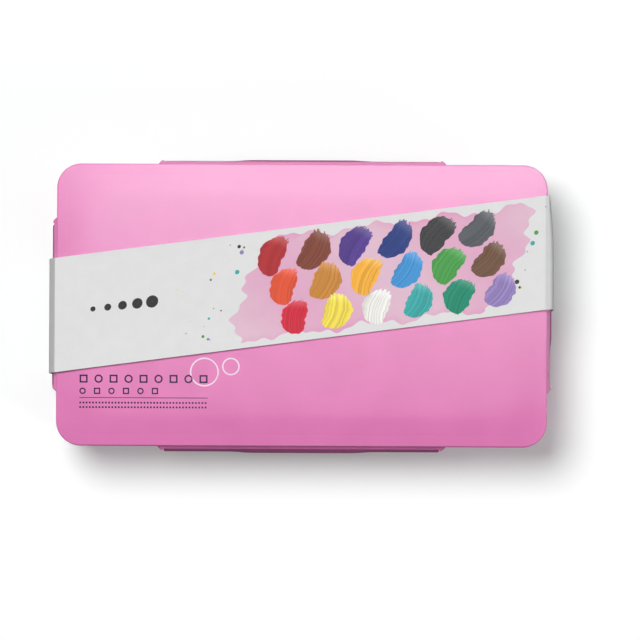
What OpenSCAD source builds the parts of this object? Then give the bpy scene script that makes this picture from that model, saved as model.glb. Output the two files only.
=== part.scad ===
// Gouache paint set: a shallow moulded case with a lift-off lid, four snap latches, a gasket,
// eighteen square paint cups, a brush trough and a slanted card band round the closed case.
// Millimetres, +Z up. The origin is on the table under the middle of the case, +X along its
// length, and the trough lies on the -Y side.

/* [Case] */
// Length of the lid over its skirt
lid_length = 305.5; // [303:0.5:308]
// Width of the lid over its skirt
lid_width = 175.6; // [174:0.2:178]
// Corner radius of the lid in plan
corner_r = 15; // [13:0.5:18]
// Height of the lid's top above the table
lid_top = 47; // [46:0.5:50]
// Radius of the rolled edge round the lid's top
shoulder_r = 6.5; // [5:0.5:7]
// Height of the lower edge of the lid's skirt
skirt_z = 32; // [31.8:0.1:32.4]
// Wall of the lid and the base
wall = 2; // [1.6:0.1:2.2]
// How much the base's side wall leans in per millimetre of height
base_draft = 0.128; // [0.08:0.004:0.14]

/* [Latches] */
// Length of the long latches with their ears
long_latch = 179; // [160:1:200]
// Length of the short latches with their ears
short_latch = 108; // [90:1:120]
// Height of the hinge pins of the latches
hinge_z = 39.5; // [39:0.1:39.8]
// Radius of the latch's hinge pins
pin_r = 0.65; // [0.55:0.05:0.7]
// Radial clearance of the pins in the lid's ears
pin_fit = 0.05; // [0.03:0.01:0.1]

/* [Cups] */
// Distance between cups along X
cup_pitch_x = 48; // [46:0.5:49]
// Distance between cups along Y
cup_pitch_y = 43.5; // [43:0.1:44]
// Width of a cup's square mouth
cup_mouth = 36.5; // [34:0.5:37]
// Width of a cup's square floor
cup_floor = 30; // [26:0.5:32]
// Depth of a cup from its rim to its floor
cup_depth = 27; // [20:0.5:27]
// Height of the paint in a cup
paint_depth = 21; // [10:0.5:22]

/* [Card band] */
// Width of the band, measured square across it
band_width = 71; // [60:1:75]
// Lean of the band against the length of the case, in degrees
band_lean = 7.5; // [5:0.1:8]
// Thickness of the card
card = 0.5; // [0.4:0.05:0.5]
// How far the band bulges out at the ends of the case
band_bulge = 4.1; // [3.2:0.1:4.5]

/* [Hidden] */
// Facets of the arcs that the exact surfaces are drawn with
$fn = 96;
// Facets of the rounded corners inside a hull
hull_fn = 32;

rows = 3;
columns = 6;
cups = [for (i = [1:rows * columns]) i];
function numbered(name, i) = str(name, i < 10 ? "_0" : "_", i);

// Lid
lid_hx = lid_length / 2;
lid_hy = lid_width / 2;
lid_roof_z = lid_top - wall - 0.1;
inner_roll = shoulder_r - wall;

// Base: every inset is counted inwards from the face of the lid's skirt
base_inset = 1.85;
bead_inset = 0.3;
rim_inset = wall + 0.55;
rim_wall = 1.8;
base_z = card + 0.1;
bead_z = skirt_z - 2;
bead_top = skirt_z - 0.6;
rim_top = 37;
floor_top = base_z + wall;
cavity_z = 27.5;
cavity_inset = rim_inset + rim_wall - 0.3;
deck_top = 31.5;
deck_t = 2.2;

// Gasket, pressed between the rim and a ledge in the lid
gasket_z = rim_top;
gasket_h = 2.6;
ledge_z = gasket_z + gasket_h;
gasket_out = rim_inset - 0.4;
gasket_in = gasket_out + 3.2;
keeper_z = 38;
keeper_t = 1.5;

// Latches: depths are counted outwards from the face of the skirt
axis_d = 1.15;
knuckle_r = 1.1;
plate_in = 0.65;
plate_out = axis_d + knuckle_r;
plate_z = 19.5;
lip_d = 3.6;
lip_h = 12;
ear_r = 1.35;
ear_l = 3.4;
ear_tip = 0.6;
ear_flat = 1.4;
ear_gap = 0.2;
pin_l = 1.1;
bore_l = 1.3;
plate_nose = 2;
plate_edge = 0.6;
hook_d = -1.3;
hook_gap = 0.15;
hook_root = plate_in + 0.3;
hook_edge = 1;
hook_h = 4;
lug_d = -0.15;
lug_root = 3.2;
lug_z = 27;
lug_h = 1.6;
lug_l = 30;
hook_l = lug_l - 2;

// Cups
cup_wall = 0.8;
cup_r = 4;
flange_w = 41.5;
flange_t = 0.9;
cup_clear = 0.25;
row_y0 = 16;
cup_rim_z = deck_top + flange_t;
cup_floor_z = cup_rim_z - cup_depth;
foil_w = 41;
foil_t = 0.15;
tab_l = 4.6;
tab_w = 12;
tab_r = 2.5;

// Brush trough
trough_y = [-77.5, -51.5];
trough_hx = 138;
trough_r = 6;
trough_floor_z = 4.5;
trough_wall = 1.5;

// Card band
band_gap = 0.05;
crease_x = lid_hx + 0.85;
crease_z = lid_top + band_gap + card / 2;
foot_x = lid_hx + band_gap;
foot_z = band_gap + card / 2;
band_t = card / 2;
band_slope = tan(band_lean);
band_hy = band_width / 2 / cos(band_lean);
band_y = 13.1;
profile_steps = 16;

pink = [0.90, 0.56, 0.77];
card_grey = [0.89, 0.89, 0.89];
clear_white = [0.93, 0.93, 0.95];
paint_colours = [
    [0.72, 0.10, 0.14], [0.48, 0.20, 0.13], [0.36, 0.20, 0.55],
    [0.13, 0.18, 0.42], [0.08, 0.08, 0.09], [0.25, 0.26, 0.28],
    [0.89, 0.26, 0.13], [0.79, 0.55, 0.16], [0.97, 0.68, 0.13],
    [0.24, 0.60, 0.84], [0.20, 0.56, 0.27], [0.36, 0.24, 0.15],
    [0.83, 0.12, 0.26], [0.97, 0.87, 0.24], [0.96, 0.96, 0.94],
    [0.94, 0.94, 0.95], [0.10, 0.52, 0.53], [0.08, 0.50, 0.36]
];

// ---- General shapes ----

// Rounded rectangle given by its half sizes
module plan(hx, hy, r) {
    square([2 * hx, 2 * (hy - r)], center = true);
    square([2 * (hx - r), 2 * hy], center = true);
    for (sx = [-1, 1], sy = [-1, 1]) translate([sx * (hx - r), sy * (hy - r)]) circle(r);
}

// The case's plan, drawn in by an inset from the face of the skirt
module case_plan(inset) {
    plan(lid_hx - inset, lid_hy - inset, corner_r - inset);
}

module case_ring(outer, inner, z0, z1) {
    translate([0, 0, z0]) linear_extrude(z1 - z0) difference() {
        case_plan(outer);
        case_plan(inner);
    }
}

// A (y, z) outline drawn out along X, centred
module along_x(length) {
    rotate([90, 0, 90]) linear_extrude(length, center = true) children();
}

// An (x, z) outline drawn out along Y, centred
module along_y(length) {
    rotate([90, 0, 0]) linear_extrude(length, center = true) children();
}

// Closed slab with a rolled upper edge
module rolled_slab(inset, z0, z1, roll) {
    hx = lid_hx - inset;
    hy = lid_hy - inset;
    r = corner_r - inset;
    zc = z1 - roll;
    translate([0, 0, z0]) linear_extrude(zc - z0) case_plan(inset);
    translate([0, 0, z0]) linear_extrude(z1 - z0) case_plan(inset + roll);
    for (s = [-1, 1]) {
        translate([0, s * (hy - roll), zc]) along_x(2 * (hx - r)) circle(roll);
        translate([s * (hx - roll), 0, zc]) along_y(2 * (hy - r)) circle(roll);
    }
    for (sx = [-1, 1], sy = [-1, 1]) {
        translate([sx * (hx - r), sy * (hy - r), zc])
            rotate_extrude() translate([r - roll, 0]) circle(roll);
    }
}

// Slab whose sides lean in towards the bottom; its insets are those at the top
module drafted_slab(inset, z0, z1) {
    hx = lid_hx - inset;
    hy = lid_hy - inset;
    r = corner_r - inset;
    lean = base_draft * (z1 - z0);
    along_x(2 * (hx - r)) polygon([[lean - hy, z0], [hy - lean, z0], [hy, z1], [-hy, z1]]);
    along_y(2 * (hy - r)) polygon([[lean - hx, z0], [hx - lean, z0], [hx, z1], [-hx, z1]]);
    for (sx = [-1, 1], sy = [-1, 1]) {
        translate([sx * (hx - r), sy * (hy - r), z0]) cylinder(h = z1 - z0, r1 = r - lean, r2 = r);
    }
}

// Puts a shape drawn at the -Y side of the case onto one side; side is front, right, back or left
module on_side(side) {
    turn = side == "front" ? 0 : side == "right" ? 90 : side == "back" ? 180 : -90;
    reach = side == "front" || side == "back" ? lid_hy : lid_hx;
    rotate([0, 0, turn]) translate([0, -reach, 0]) children();
}

function latch_length(side) = side == "front" || side == "back" ? long_latch : short_latch;
// Where along a side its lugs and hooks stand
function hook_places(side) = side == "front" || side == "back" ? [-48, 48] : [0];

// ---- Lid ----

// Ear of a latch hinge: a rounded block whose outer end is cut at 45 degrees in plan
module ear() {
    intersection() {
        translate([ear_l / 2, -axis_d, hinge_z]) {
            along_x(ear_l) circle(ear_r);
            along_x(ear_l) translate([0, -ear_r]) square([axis_d + wall / 2, 2 * ear_r]);
        }
        translate([0, 0, hinge_z - 2 * ear_r]) linear_extrude(4 * ear_r)
            polygon([
                [0, wall], [ear_l, wall], [ear_l, -ear_tip],
                [ear_flat, ear_flat - ear_l - ear_tip], [0, ear_flat - ear_l - ear_tip]
            ]);
    }
}

module ears(side) {
    half = latch_length(side) / 2 - ear_l;
    on_side(side) for (s = [0, 1]) mirror([s, 0, 0]) translate([half, 0, 0]) difference() {
        ear();
        translate([-1, -axis_d, hinge_z])
            rotate([0, 90, 0]) cylinder(h = 1 + bore_l, r = pin_r + pin_fit);
    }
}

module lid_shell() {
    color(pink) union() {
        difference() {
            rolled_slab(0, skirt_z, lid_top, shoulder_r);
            rolled_slab(wall, skirt_z - 1, lid_roof_z, inner_roll);
        }
        case_ring(wall / 2, gasket_in + keeper_t, ledge_z, lid_top - shoulder_r);
        case_ring(gasket_in, gasket_in + keeper_t, keeper_z, ledge_z + 1);
        for (side = ["front", "back", "left", "right"]) ears(side);
    }
}

module lid_gasket() {
    color("whitesmoke") case_ring(gasket_out, gasket_in, gasket_z, ledge_z);
}

// ---- Latches ----

// Catch of a latch: its top slopes at 45 degrees, just under the lug
module hook(length) {
    top = lug_z - hook_gap - lug_d;
    along_x(length) polygon([
        [-hook_root, top + hook_root],
        [-hook_d, top + hook_d],
        [-hook_d, top + hook_d - hook_edge],
        [-hook_root, top - hook_h]
    ]);
}

module latch(side) {
    length = latch_length(side);
    plate_l = length - 2 * (ear_l + ear_gap);
    nose_d = plate_nose / 2 - plate_out;
    color(pink) on_side(side) {
        translate([0, -axis_d, hinge_z]) along_x(plate_l) circle(knuckle_r);
        intersection() {
            along_x(plate_l) polygon([
                [-plate_in, plate_z + plate_edge], [-plate_in, hinge_z],
                [-plate_out, hinge_z], [-plate_out, plate_z + lip_h],
                [-lip_d, plate_z + plate_edge], [-lip_d, plate_z], [-plate_in - plate_edge, plate_z]
            ]);
            linear_extrude(hinge_z) polygon([
                [-plate_l / 2, 0], [plate_l / 2, 0],
                [plate_l / 2, nose_d], [plate_l / 2 - plate_nose, nose_d - plate_nose],
                [plate_nose - plate_l / 2, nose_d - plate_nose], [-plate_l / 2, nose_d]
            ]);
        }
        for (x = hook_places(side)) translate([x, 0, 0]) hook(hook_l);
        for (s = [-1, 1]) translate([s * plate_l / 2, -axis_d, hinge_z])
            rotate([0, 90, 0]) cylinder(h = 2 * (pin_l + ear_gap), r = pin_r, center = true);
    }
}

// ---- Base ----

// Lug on the base's wall that a hook catches under
module lug() {
    along_x(lug_l) polygon([
        [lug_root, bead_z], [-lug_d, lug_z + lug_h],
        [-lug_d, lug_z], [lug_root, lug_z - lug_root - lug_d]
    ]);
}

module cup_hole(i) {
    half = cup_mouth / 2 + cup_wall + cup_clear;
    translate([cup_x(i), cup_y(i), deck_top - deck_t - 1])
        linear_extrude(deck_t + 2) plan(half, half, cup_r);
}

module trough_plan(grow) {
    translate([0, (trough_y[0] + trough_y[1]) / 2])
        plan(trough_hx + grow, (trough_y[1] - trough_y[0]) / 2 + grow, trough_r + grow);
}

module base_tray() {
    color(pink) difference() {
        union() {
            difference() {
                drafted_slab(base_inset, base_z, bead_z);
                drafted_slab(cavity_inset, floor_top, cavity_z);
                translate([0, 0, cavity_z - 1]) linear_extrude(bead_z) case_plan(rim_inset + rim_wall);
            }
            case_ring(bead_inset, rim_inset + rim_wall, bead_z, bead_top);
            case_ring(rim_inset, rim_inset + rim_wall, bead_z, rim_top);
            translate([0, 0, deck_top - deck_t]) linear_extrude(deck_t) case_plan(rim_inset + rim_wall / 2);
            translate([0, 0, floor_top - wall / 2])
                linear_extrude(deck_top - floor_top) trough_plan(trough_wall);
            for (side = ["front", "back", "left", "right"], x = hook_places(side))
                on_side(side) translate([x, 0, 0]) lug();
        }
        translate([0, 0, trough_floor_z]) linear_extrude(deck_top) trough_plan(0);
        for (i = cups) cup_hole(i);
    }
}

// ---- Cups, paint and foils ----

// Cups are numbered from the back row's left end
function cup_column(i) = (i - 1) % columns;
function cup_row(i) = floor((i - 1) / columns);
function cup_x(i) = (cup_column(i) - (columns - 1) / 2) * cup_pitch_x;
function cup_y(i) = row_y0 + (1 - cup_row(i)) * cup_pitch_y;

// Square tapered block between two heights above the cup's floor; grow moves its sides out
module cup_block(h0, h1, grow) {
    taper = (cup_mouth - cup_floor) / 2 / cup_depth;
    thin = 0.01;
    hull() for (h = [h0, h1 - thin]) {
        half = cup_floor / 2 + taper * h + grow;
        translate([0, 0, cup_floor_z + h]) linear_extrude(thin) plan(half, half, cup_r, $fn = hull_fn);
    }
}

module cup(i) {
    color(clear_white) translate([cup_x(i), cup_y(i), 0]) difference() {
        union() {
            cup_block(-cup_wall, cup_depth, cup_wall);
            translate([0, 0, deck_top])
                linear_extrude(flange_t) plan(flange_w / 2, flange_w / 2, cup_r, $fn = hull_fn);
        }
        cup_block(0, cup_depth + 1, 0);
    }
}

module paint(i) {
    skin = 0.03;
    color(paint_colours[i - 1]) translate([cup_x(i), cup_y(i), 0]) cup_block(skin, paint_depth, -skin);
}

// Six peel-off sheets, each with a pull tab on its right
module foil_row(row) {
    color("white") for (i = [row * columns + 1 : (row + 1) * columns]) {
        translate([cup_x(i), cup_y(i), cup_rim_z]) linear_extrude(foil_t) {
            plan(foil_w / 2, foil_w / 2, cup_r);
            translate([foil_w / 2 - 1, 0]) plan(tab_l + 1, tab_w / 2, tab_r);
        }
    }
}

// ---- Card band ----

// The middle of the band drifts towards +Y from left to right
function band_mid(x) = band_y + band_slope * x;

module band_sheet(half) {
    polygon([
        [-half, band_mid(-half) - band_hy], [half, band_mid(half) - band_hy],
        [half, band_mid(half) + band_hy], [-half, band_mid(-half) + band_hy]
    ]);
}

module sleeve_top_panel() {
    color(card_grey) translate([0, 0, lid_top + band_gap])
        linear_extrude(card) band_sheet(crease_x - band_t - band_gap);
}

module sleeve_back_panel() {
    color(card_grey) linear_extrude(card) band_sheet(foot_x - band_t - band_gap);
}

// The end of the band in (x, z), from the crease (t = 0) to the foot (t = 1), offset by d
function end_point(t, d) = [
    crease_x + (foot_x - crease_x) * t + band_bulge * pow(sin(180 * t), 0.6) + d,
    crease_z + (foot_z - crease_z) * t
];

module sleeve_end(side) {
    mid = side * band_mid(side * crease_x);
    inner = [for (k = [0:profile_steps]) end_point(k / profile_steps, -band_t)];
    outer = [for (k = [profile_steps:-1:0]) end_point(k / profile_steps, band_t)];
    color(card_grey) rotate([0, 0, side > 0 ? 0 : 180]) translate([0, mid, 0]) {
        along_y(2 * band_hy) polygon(concat(inner, outer));
        translate([crease_x, 0, crease_z]) along_y(2 * band_hy) circle(band_t);
        translate([foot_x, 0, foot_z]) along_y(2 * band_hy) circle(band_t);
    }
}

base_tray();
lid_shell();
lid_gasket();
latch("front");  // latch_front
latch("back");  // latch_back
latch("left");  // latch_left
latch("right");  // latch_right
sleeve_top_panel();
sleeve_end(-1);  // sleeve_left_panel
sleeve_end(1);  // sleeve_right_panel
sleeve_back_panel();
for (i = cups) {
    cup(i);
    paint(i);
}
foil_row(0);  // foil_row_back
foil_row(1);  // foil_row_middle
foil_row(2);  // foil_row_front
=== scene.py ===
"""Looks of a gouache paint set: a pink moulded case with a card band, snap latches, cups and paint.

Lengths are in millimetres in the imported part's own frame until a mesh is made, and in metres in
the studio. Insets are counted inwards, and depths outwards, from the face of the lid's skirt.
"""
import logging
import math
from dataclasses import dataclass
from enum import Enum

import bmesh
import bpy
import numpy as np
from mathutils import Matrix, Vector


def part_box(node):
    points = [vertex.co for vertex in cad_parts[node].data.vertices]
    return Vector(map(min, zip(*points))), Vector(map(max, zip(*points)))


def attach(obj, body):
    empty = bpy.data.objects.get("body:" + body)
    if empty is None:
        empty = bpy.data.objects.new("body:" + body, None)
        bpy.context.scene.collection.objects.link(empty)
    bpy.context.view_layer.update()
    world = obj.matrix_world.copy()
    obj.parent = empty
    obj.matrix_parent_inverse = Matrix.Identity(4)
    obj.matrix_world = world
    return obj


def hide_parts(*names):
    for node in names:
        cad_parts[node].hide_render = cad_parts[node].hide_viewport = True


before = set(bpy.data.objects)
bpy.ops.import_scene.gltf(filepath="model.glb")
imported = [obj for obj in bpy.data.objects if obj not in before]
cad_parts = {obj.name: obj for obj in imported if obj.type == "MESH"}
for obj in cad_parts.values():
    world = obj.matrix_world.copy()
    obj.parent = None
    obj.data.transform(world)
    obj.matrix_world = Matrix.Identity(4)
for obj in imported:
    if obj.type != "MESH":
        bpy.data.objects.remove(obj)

Array = np.ndarray
Material = bpy.types.Material
NodeTree = bpy.types.NodeTree
Socket = bpy.types.NodeSocket
Look = tuple[dict, Socket]
MM = 0.001
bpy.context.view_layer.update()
LOG = logging.getLogger("paint_set")


# ---- Surfaces ----


@dataclass
class Surface:
    """Points in millimetres, quads between them, flat end faces and an optional tint per point."""

    points: Array
    quads: Array
    ends: tuple[tuple[int, ...], ...] = ()
    tint: Array | None = None

    @staticmethod
    def joined(parts: list["Surface"]) -> "Surface":
        """One surface that holds all the parts.

        Args:
            parts: the surfaces to put together; either all of them have a tint or none has.

        Returns:
            The surface whose point numbers run on from part to part.
        """
        starts = np.cumsum([0] + [len(p.points) for p in parts])
        quads = np.concatenate([p.quads + s for p, s in zip(parts, starts)])
        ends = tuple(tuple(i + int(s) for i in e) for p, s in zip(parts, starts) for e in p.ends)
        tint = None if parts[0].tint is None else np.concatenate([p.tint for p in parts])
        return Surface(np.concatenate([p.points for p in parts]), quads, ends, tint)

    def moved(self, x: float, y: float) -> "Surface":
        """The same surface, shifted."""
        return Surface(self.points + [x, y, 0.0], self.quads, self.ends, self.tint)


def loft(rings: Array, around: bool = False) -> Surface:
    """Quads between neighbouring closed rings.

    Args:
        rings: points of shape (rings, points, 3).
        around: True joins the last ring to the first.

    Returns:
        A surface whose quad (i, j) has corners (i, j), (i, j+1), (i+1, j+1), (i+1, j).
    """
    rows, count = rings.shape[:2]
    index = np.arange(rows * count).reshape(rows, count)
    near = index if around else index[:-1]
    far = np.roll(index, -1, 0) if around else index[1:]
    quads = np.stack([near, np.roll(near, -1, 1), np.roll(far, -1, 1), far], -1)
    return Surface(rings.reshape(-1, 3), quads.reshape(-1, 4))


def closed_bar(rings: Array) -> Surface:
    """Closed rings joined into a bar with flat ends."""
    bar = loft(rings)
    count = rings.shape[1]
    bar.ends = (tuple(range(count - 1, -1, -1)), tuple(range(len(bar.points) - count, len(bar.points))))
    return bar


def patch(grid: Array, tint: Array | tuple | None = None) -> Surface:
    """Quads of an open grid of points of shape (rows, columns, 3), with one tint or one per point."""
    rows, columns = grid.shape[:2]
    i = np.arange(rows * columns).reshape(rows, columns)
    quads = np.stack([i[:-1, :-1], i[:-1, 1:], i[1:, 1:], i[1:, :-1]], -1).reshape(-1, 4)
    if tint is not None:
        tint = np.broadcast_to(tint, (rows, columns, 4)).reshape(-1, 4)
    return Surface(grid.reshape(-1, 3), quads, (), tint)


def at_height(flat: Array, height: Array | float) -> Array:
    """Gives (x, y) points their heights."""
    return np.concatenate([flat, np.broadcast_to(height, flat.shape[:-1])[..., None]], -1)


def arc(radius: float, start: float, stop: float, count: int, slope: float = math.inf) -> Array:
    """Arc about the origin; what lies past the line x + y = slope is pressed straight back onto it.

    Args:
        radius: the arc's radius.
        start: angle of its first point in degrees.
        stop: angle of its last point in degrees.
        count: number of points.
        slope: place of the 45-degree line.

    Returns:
        The points, of shape (count, 2).
    """
    turn = np.radians(np.linspace(start, stop, count))
    points = radius * np.stack([np.cos(turn), np.sin(turn)], -1)
    return points - np.maximum(points.sum(-1, keepdims=True) - slope, 0) / 2


def soften(corners: list[tuple[float, float]], cuts: float | list[float], closed: bool = False,
           steps: int = 6) -> Array:
    """Rounds the corners of a flat outline.

    A corner P becomes the parabola (1-t)^2 A + 2 t (1-t) P + t^2 B, where A and B lie on its
    two sides, at the cut's length from P.

    Args:
        corners: the outline's corners in order.
        cuts: length cut from both sides of each corner.
        closed: False keeps the first and the last corner as they are.
        steps: points on each rounded corner.

    Returns:
        The rounded outline, of shape (points, 2).
    """
    corner = np.asarray(corners, float)
    cut = np.broadcast_to(np.asarray(cuts, float), len(corner))[:, None]
    back, on = np.roll(corner, 1, 0) - corner, np.roll(corner, -1, 0) - corner
    a = corner + back / np.linalg.norm(back, axis=1, keepdims=True) * cut
    b = corner + on / np.linalg.norm(on, axis=1, keepdims=True) * cut
    t = np.linspace(0, 1, steps)[None, :, None]
    curve = (1 - t) ** 2 * a[:, None] + 2 * t * (1 - t) * corner[:, None] + t ** 2 * b[:, None]
    if closed:
        return curve.reshape(-1, 2)
    return np.concatenate([corner[:1], curve[1:-1].reshape(-1, 2), corner[-1:]])


def rounded_pattern(turn: int, side_x: int, side_y: int) -> tuple[Array, Array]:
    """What every rounded rectangle with these counts shares.

    A point of a rounded rectangle is core * (half size - radius) + normal * radius, where core
    runs from -1 to 1 along the straight sides and stays at a corner over its arc.

    Args:
        turn: steps on each corner's quarter circle.
        side_x: steps along each side that runs along X.
        side_y: steps along each side that runs along Y.

    Returns:
        The core points and the outward normals, each of shape (points, 2), anticlockwise.
    """
    signs = np.array([[1, 1], [-1, 1], [-1, -1], [1, -1]], float)
    core, normal = [], []
    for k, side in enumerate((side_x, side_y, side_x, side_y)):
        along = np.linspace(0, 1, side + 1)[1:-1, None]
        core += [np.repeat(signs[k:k + 1], turn + 1, 0), signs[k] + (signs[(k + 1) % 4] - signs[k]) * along]
        turned = arc(1.0, 90 * k, 90 * k + 90, turn + 1)
        normal += [turned, np.repeat(turned[-1:], side - 1, 0)]
    return np.concatenate(core), np.concatenate(normal)


def rounded_rings(half: Array, radius: Array, height: Array, pattern: tuple[Array, Array]) -> Array:
    """Rings of rounded rectangles.

    Args:
        half: half sizes, of shape (rings, 2).
        radius: corner radius of each ring.
        height: height of each ring, or of each point, of shape (rings, points).
        pattern: the core points and normals.

    Returns:
        Points of shape (rings, points, 3).
    """
    core, normal = pattern
    flat = core * (half - radius[:, None])[:, None] + normal * radius[:, None, None]
    return at_height(flat, height if height.ndim == 2 else height[:, None])


def rotated(x: Array, y: Array, degrees: float) -> Array:
    """Flat points turned about the origin."""
    cos, sin = math.cos(math.radians(degrees)), math.sin(math.radians(degrees))
    return np.stack([x * cos - y * sin, x * sin + y * cos], -1)


def leftwards(along: Array) -> Array:
    """Unit vectors at right angles to the left of flat ones."""
    return np.stack([-along[..., 1], along[..., 0]], -1) / np.linalg.norm(along, axis=-1, keepdims=True)


def spread(length: float, step: float) -> Array:
    """Even stations from -length / 2 to length / 2, about a step apart."""
    return np.linspace(-length / 2, length / 2, max(2, round(length / step) + 1))


def fine_ends(ends: Array, length: float, count: int) -> Array:
    """Places from 0 to a length: the given ones at both ends, and about a count of even ones between."""
    middle = np.linspace(ends[-1], length - ends[-1], count)[1:-1]
    return np.concatenate([ends, middle, (length - ends)[::-1]])


def smooth_step(x: Array) -> Array:
    """0 below 0, 1 above 1 and 3 x^2 - 2 x^3 in between."""
    x = np.clip(x, 0, 1)
    return x * x * (3 - 2 * x)


# ---- Plan ----


class Side(Enum):
    """Side of the case, with its turn about +Z from the front in degrees."""

    FRONT = 0
    RIGHT = 90
    BACK = 180
    LEFT = -90

    @property
    def long(self) -> bool:
        """True for the front and the back."""
        return self in (Side.FRONT, Side.BACK)

    @property
    def latch(self) -> float:
        """Length of the latch over its ears."""
        return 179.0 if self.long else 108.0

    @property
    def catches(self) -> tuple[float, ...]:
        """Places of the latch's catches along the side."""
        return (-48.0, 48.0) if self.long else (0.0,)


@dataclass(frozen=True)
class Case:
    """Plan of the closed case; axis is the depth and height of the latches' hinges."""

    half: tuple[float, float]
    corner: float = 15.0
    gasket_inset: float = 2.15
    axis: tuple[float, float] = (1.15, 39.5)

    @classmethod
    def from_frame(cls) -> "Case":
        """Reads the skirt's half sizes off the gasket, which lies a known inset inside it."""
        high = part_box("lid_gasket")[1] / MM
        return cls((high.x + cls.gasket_inset, high.y + cls.gasket_inset))

    def rings(self, inset: Array, height: Array) -> Array:
        """Rings round the case at insets, with a height for each ring or for each point."""
        half = np.array(self.half) - inset[:, None]
        return rounded_rings(half, self.corner - inset, height, rounded_pattern(14, 52, 30))

    def carry(self, section: Array, stations: Array, side: Side, limit: Array | None = None) -> Surface:
        """Carries a section along one side of the case and closes its ends.

        Args:
            section: (depth, height) points, of shape (points, 2) or (stations, points, 2).
            stations: places along the side, in order.
            side: the side of the case.
            limit: the section's greatest depth at each station.

        Returns:
            The closed bar.
        """
        rows = np.broadcast_to(section, (len(stations), *section.shape[-2:]))
        x = np.broadcast_to(stations[:, None], rows.shape[:2])
        depth = rows[..., 0] if limit is None else np.minimum(rows[..., 0], limit[:, None])
        reach = self.half[1] if side.long else self.half[0]
        flat = rotated(x, -(reach + depth), side.value)
        return closed_bar(at_height(flat, rows[..., 1]))


@dataclass(frozen=True)
class CupGrid:
    """Places of the cups: six columns and three rows."""

    pitch: tuple[float, float] = (48.0, 43.5)
    middle_y: float = 16.0

    def centre(self, number: int) -> tuple[float, float]:
        """Place of a cup, counted from 1 at the back row's left end."""
        row, column = divmod(number - 1, 6)
        return (column - 2.5) * self.pitch[0], self.middle_y + (1 - row) * self.pitch[1]


# ---- Finishes ----


class Wiring:
    """Adds nodes to a tree and joins them up."""

    def __init__(self, tree: NodeTree) -> None:
        """Keeps the tree and empties it."""
        self.tree = tree
        tree.nodes.clear()

    def feed(self, node: bpy.types.Node, inputs: dict) -> None:
        """Links or sets a node's inputs, given by name or number."""
        for name, value in inputs.items():
            if isinstance(value, Socket):
                self.tree.links.new(value, node.inputs[name])
            else:
                node.inputs[name].default_value = value

    def add(self, kind: str, inputs: dict | None = None, **settings: object) -> bpy.types.Node:
        """Adds one node.

        Args:
            kind: the node's type, without the ShaderNode that most of them begin with.
            inputs: sockets to link or values to set, by input name or number.
            settings: the node's own properties.

        Returns:
            The new node.
        """
        node = self.tree.nodes.new(kind if kind.startswith("NodeGroup") else "ShaderNode" + kind)
        for name, value in settings.items():
            setattr(node, name, value)
        self.feed(node, inputs or {})
        return node

    def maths(self, operation: str, *values: object) -> Socket:
        """Result of a Math node."""
        return self.add("Math", dict(enumerate(values)), operation=operation).outputs[0]

    def mix(self, factor: object, first: object, second: object) -> Socket:
        """Mixed colour of two colours."""
        return self.add("Mix", {0: factor, 6: first, 7: second}, data_type="RGBA").outputs[2]

    def noise(self, size: float, detail: float, stretch: tuple = (1, 1, 1), **inputs: float) -> Socket:
        """Noise on Object coordinates whose features are about a size in millimetres, from 0 to 1."""
        place = self.add("TexCoord").outputs["Object"]
        vector = self.add("Mapping", {"Vector": place, "Scale": stretch}).outputs[0]
        inputs = {"Vector": vector, "Scale": 1 / (size * MM), "Detail": detail, **inputs}
        return self.add("TexNoise", inputs).outputs["Fac"]

    def ramp(self, value: object, low: float, high: float, to_low: float = 0.0,
             to_high: float = 1.0) -> Socket:
        """Maps a value from one range to another, smoothly and clamped."""
        inputs = {"Value": value, "From Min": low, "From Max": high, "To Min": to_low, "To Max": to_high}
        return self.add("MapRange", inputs, interpolation_type="SMOOTHSTEP").outputs[0]

    def rays(self, *kinds: str) -> Socket:
        """1 for rays of the given kinds and 0 for all others."""
        outputs = self.add("LightPath").outputs
        found, *more = [outputs[f"Is {kind} Ray"] for kind in kinds]
        for other in more:
            found = self.maths("MAXIMUM", found, other)
        return found


def new_group(name: str, inputs: dict[str, float], outputs: tuple[str, ...]) -> tuple[Wiring, dict]:
    """Makes a node group with value sockets.

    Args:
        name: the group's name.
        inputs: input names with their defaults.
        outputs: output names.

    Returns:
        The group's wiring and its input sockets.
    """
    tree = bpy.data.node_groups.new(name, "ShaderNodeTree")
    for label, default in inputs.items():
        socket = tree.interface.new_socket(label, in_out="INPUT", socket_type="NodeSocketFloat")
        socket.default_value = default
    for label in outputs:
        tree.interface.new_socket(label, in_out="OUTPUT", socket_type="NodeSocketFloat")
    wiring = Wiring(tree)
    return wiring, wiring.add("NodeGroupInput").outputs


def moulded_skin() -> NodeTree:
    """Group for moulded plastic: fine spark grain, slow mottling and faint rub marks.

    The marks are noise stretched to streaks, cut to thin ones and kept to a few patches.
    """
    w, given = new_group("moulded_skin", {"Grain": 1.0, "Marks": 1.0}, ("Height", "Mottle", "Rub"))
    streaks = w.ramp(w.noise(1.1, 4.0, (0.06, 1.0, 0.4)), 0.62, 0.72)
    patches = w.ramp(w.noise(30.0, 2.0), 0.45, 0.7)
    w.add("NodeGroupOutput", {
        "Height": w.maths("MULTIPLY", w.noise(0.35, 3.0), given["Grain"]), "Mottle": w.noise(26.0, 2.0),
        "Rub": w.maths("MULTIPLY", w.maths("MULTIPLY", streaks, patches), given["Marks"])})
    return w.tree


def paper_fibre() -> NodeTree:
    """Group for card and paper: two crossed stretched noises for fibres, and cloudy formation."""
    w, given = new_group("paper_fibre", {"Strength": 1.0}, ("Height", "Cloud"))
    fibres = w.maths("ADD", w.noise(0.3, 2.0, (0.25, 1, 1)), w.noise(0.3, 2.0, (1, 0.25, 1)))
    height = w.maths("MULTIPLY", fibres, given["Strength"])
    w.add("NodeGroupOutput", {"Height": height, "Cloud": w.noise(9.0, 3.0)})
    return w.tree


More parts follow.
